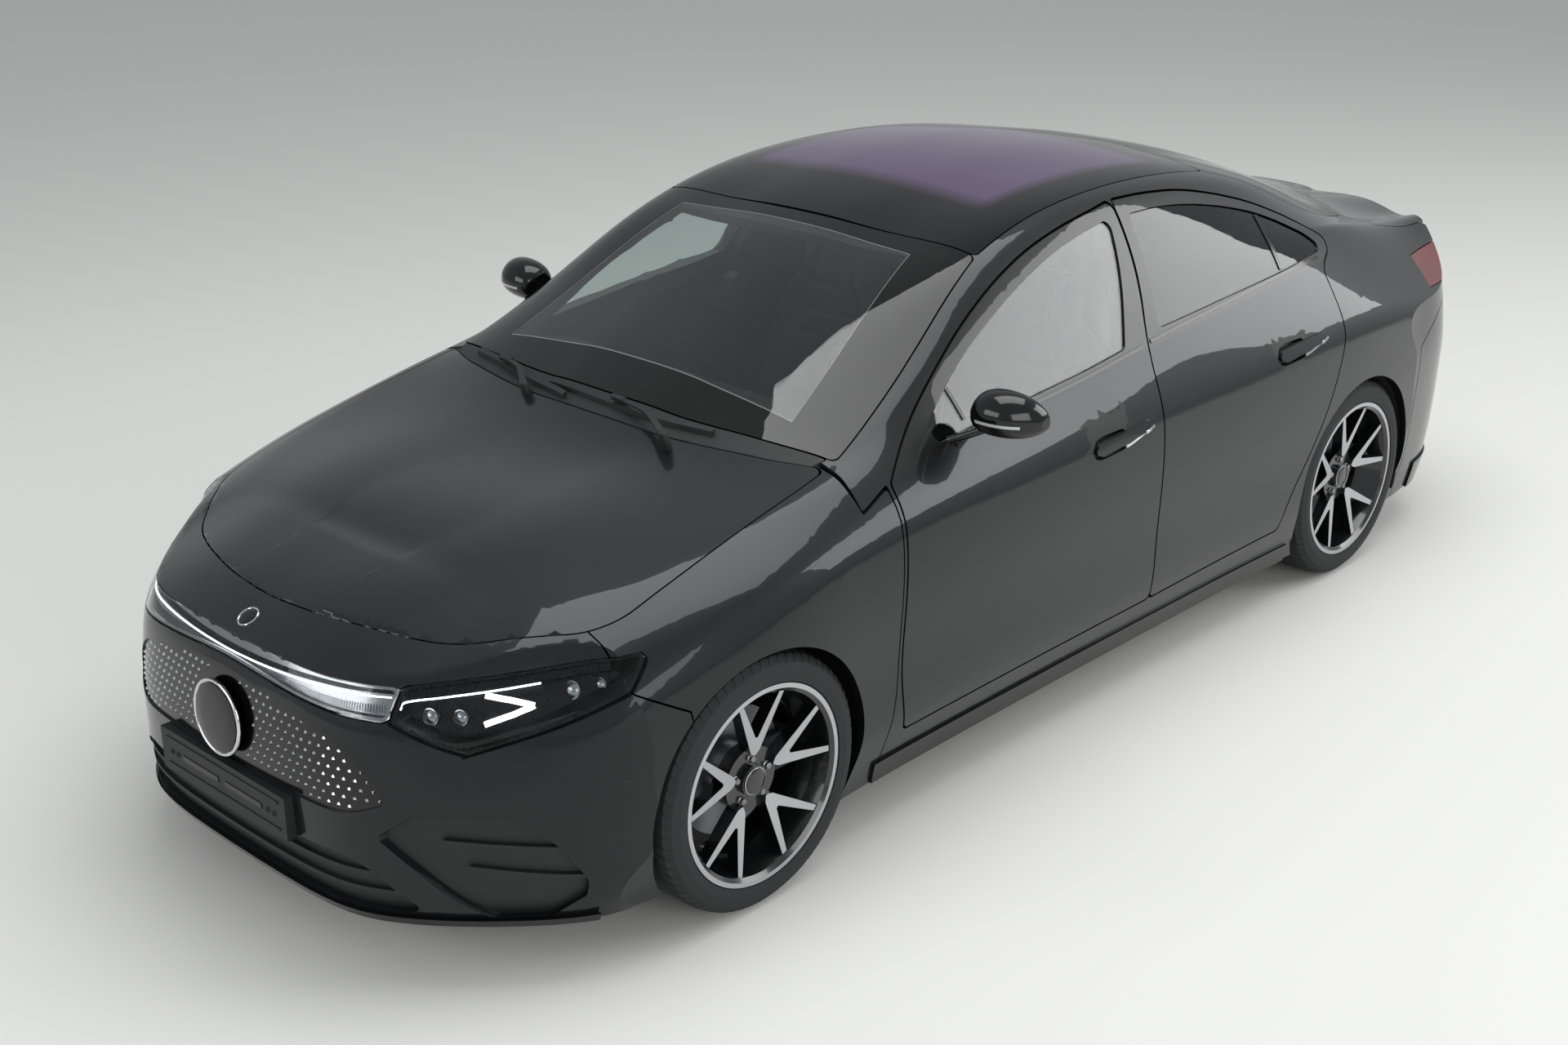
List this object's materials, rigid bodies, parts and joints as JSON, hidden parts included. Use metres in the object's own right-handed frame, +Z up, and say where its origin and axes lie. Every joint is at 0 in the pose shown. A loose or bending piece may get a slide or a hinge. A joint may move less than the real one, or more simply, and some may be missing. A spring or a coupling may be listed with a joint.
{
  "type": "four-door sedan car",
  "caption": "Low, arched four-door electric sedan with opening doors, bonnet and boot lid, steered front wheels and turning road wheels.",
  "frame": {"origin": "ground level under the middle of the car's length and width", "axes": "+X to the car's left, +Y to its rear (the nose faces -Y), +Z up"},
  "size_m": [2.054, 4.7237, 1.469],
  "materials": {
    "graphite_paint": "metallic clear coat",
    "tinted_glass": "polished",
    "gloss_black": "gloss",
    "black_plastic": "grained",
    "lamp_lens": "clear lens",
    "red_lens": "clear lens",
    "tyre_rubber": "matte",
    "machined_alloy": "satin",
    "cast_steel": "machined",
    "leather": "grained",
    "underseal": "matte"
  },
  "bodies": {
    "body": {"underbody": "underseal", "battery_pack": "underseal", "body_sides": "graphite_paint", "roof_frame": "black_plastic", "fixed_glass": "tinted_glass", "front_fenders": "graphite_paint", "front_bumper": "graphite_paint", "nose_panel": "graphite_paint", "grille_panel": "gloss_black", "front_intakes": "black_plastic", "front_plate_bracket": "black_plastic", "front_lamps": "lamp_lens", "rear_bumper": "graphite_paint", "tail_lamps": "red_lens", "wheel_arch_liners": "underseal", "front_suspension_arms": "cast_steel", "rear_wheel_carriers": "cast_steel", "cowl_panel": "black_plastic", "dashboard": "leather", "seats": "leather", "cabin_mirror": "gloss_black", "lamp_housings": "gloss_black", "lower_trims": "black_plastic", "wipers": "black_plastic"},
    "front_door_left": {"front_door_left": "graphite_paint", "front_door_glass_left": "tinted_glass", "door_mirror_left": "gloss_black"},
    "rear_door_left": {"rear_door_left": "graphite_paint", "rear_door_glass_left": "tinted_glass"},
    "steer_left": {"knuckle_left": "cast_steel"},
    "wheel_front_left": {"tyre_front_left": "tyre_rubber", "wheel_front_left": "machined_alloy", "brake_disc_front_left": "cast_steel"},
    "wheel_rear_left": {"tyre_rear_left": "tyre_rubber", "wheel_rear_left": "machined_alloy", "brake_disc_rear_left": "cast_steel"},
    "front_door_right": {"front_door_right": "graphite_paint", "front_door_glass_right": "tinted_glass", "door_mirror_right": "gloss_black"},
    "rear_door_right": {"rear_door_right": "graphite_paint", "rear_door_glass_right": "tinted_glass"},
    "steer_right": {"knuckle_right": "cast_steel"},
    "wheel_front_right": {"tyre_front_right": "tyre_rubber", "wheel_front_right": "machined_alloy", "brake_disc_front_right": "cast_steel"},
    "wheel_rear_right": {"tyre_rear_right": "tyre_rubber", "wheel_rear_right": "machined_alloy", "brake_disc_rear_right": "cast_steel"},
    "bonnet": {"bonnet": "graphite_paint"},
    "boot_lid": {"boot_lid": "graphite_paint", "boot_lamp_bar": "red_lens"},
    "steering_wheel": {"steering_wheel": "leather"}
  },
  "joints": [
    {"name": "front_door_left_hinge", "type": "hinge", "parent": "body", "child": "front_door_left", "pos_m": [0.9145, -0.963, 0.6], "axis": [0, 0, -1], "range_deg": [0, 65]},
    {"name": "rear_door_left_hinge", "type": "hinge", "parent": "body", "child": "rear_door_left", "pos_m": [0.9145, 0.153, 0.6], "axis": [0, 0, -1], "range_deg": [0, 65]},
    {"name": "front_door_right_hinge", "type": "hinge", "parent": "body", "child": "front_door_right", "pos_m": [-0.9145, -0.963, 0.6], "axis": [0, 0, 1], "range_deg": [0, 65]},
    {"name": "rear_door_right_hinge", "type": "hinge", "parent": "body", "child": "rear_door_right", "pos_m": [-0.9145, 0.153, 0.6], "axis": [0, 0, 1], "range_deg": [0, 65]},
    {"name": "bonnet_hinge", "type": "hinge", "parent": "body", "child": "bonnet", "pos_m": [0, -1.0545, 0.985], "axis": [-1, 0, 0], "range_deg": [0, 50]},
    {"name": "boot_lid_hinge", "type": "hinge", "parent": "body", "child": "boot_lid", "pos_m": [0, 1.7785, 1.165], "axis": [1, 0, 0], "range_deg": [0, 75]},
    {"name": "steer_left_pivot", "type": "hinge", "parent": "body", "child": "steer_left", "pos_m": [0.7, -1.4565, 0.331], "axis": [0, 0, 1], "range_deg": [-30, 30]},
    {"name": "steer_right_pivot", "type": "hinge", "parent": "body", "child": "steer_right", "pos_m": [-0.7, -1.4565, 0.331], "axis": [0, 0, 1], "range_deg": [-30, 30]},
    {"name": "steering_wheel_turn", "type": "hinge", "parent": "body", "child": "steering_wheel", "pos_m": [0.37, -0.4565, 0.905], "axis": [0, 0.9272, 0.3746], "range_deg": [-450, 450]},
    {"name": "wheel_front_left_spin", "type": "hinge", "parent": "steer_left", "child": "wheel_front_left", "pos_m": [0.795, -1.4565, 0.331], "axis": [1, 0, 0], "continuous": true},
    {"name": "wheel_rear_left_spin", "type": "hinge", "parent": "body", "child": "wheel_rear_left", "pos_m": [0.795, 1.3335, 0.331], "axis": [1, 0, 0], "continuous": true},
    {"name": "wheel_front_right_spin", "type": "hinge", "parent": "steer_right", "child": "wheel_front_right", "pos_m": [-0.795, -1.4565, 0.331], "axis": [1, 0, 0], "continuous": true},
    {"name": "wheel_rear_right_spin", "type": "hinge", "parent": "body", "child": "wheel_rear_right", "pos_m": [-0.795, 1.3335, 0.331], "axis": [1, 0, 0], "continuous": true}
  ],
  "couplings": [
    {"joint": "steer_right_pivot", "follows": "steer_left_pivot", "ratio": 1},
    {"joint": "steering_wheel_turn", "follows": "steer_left_pivot", "ratio": 15}
  ]
}
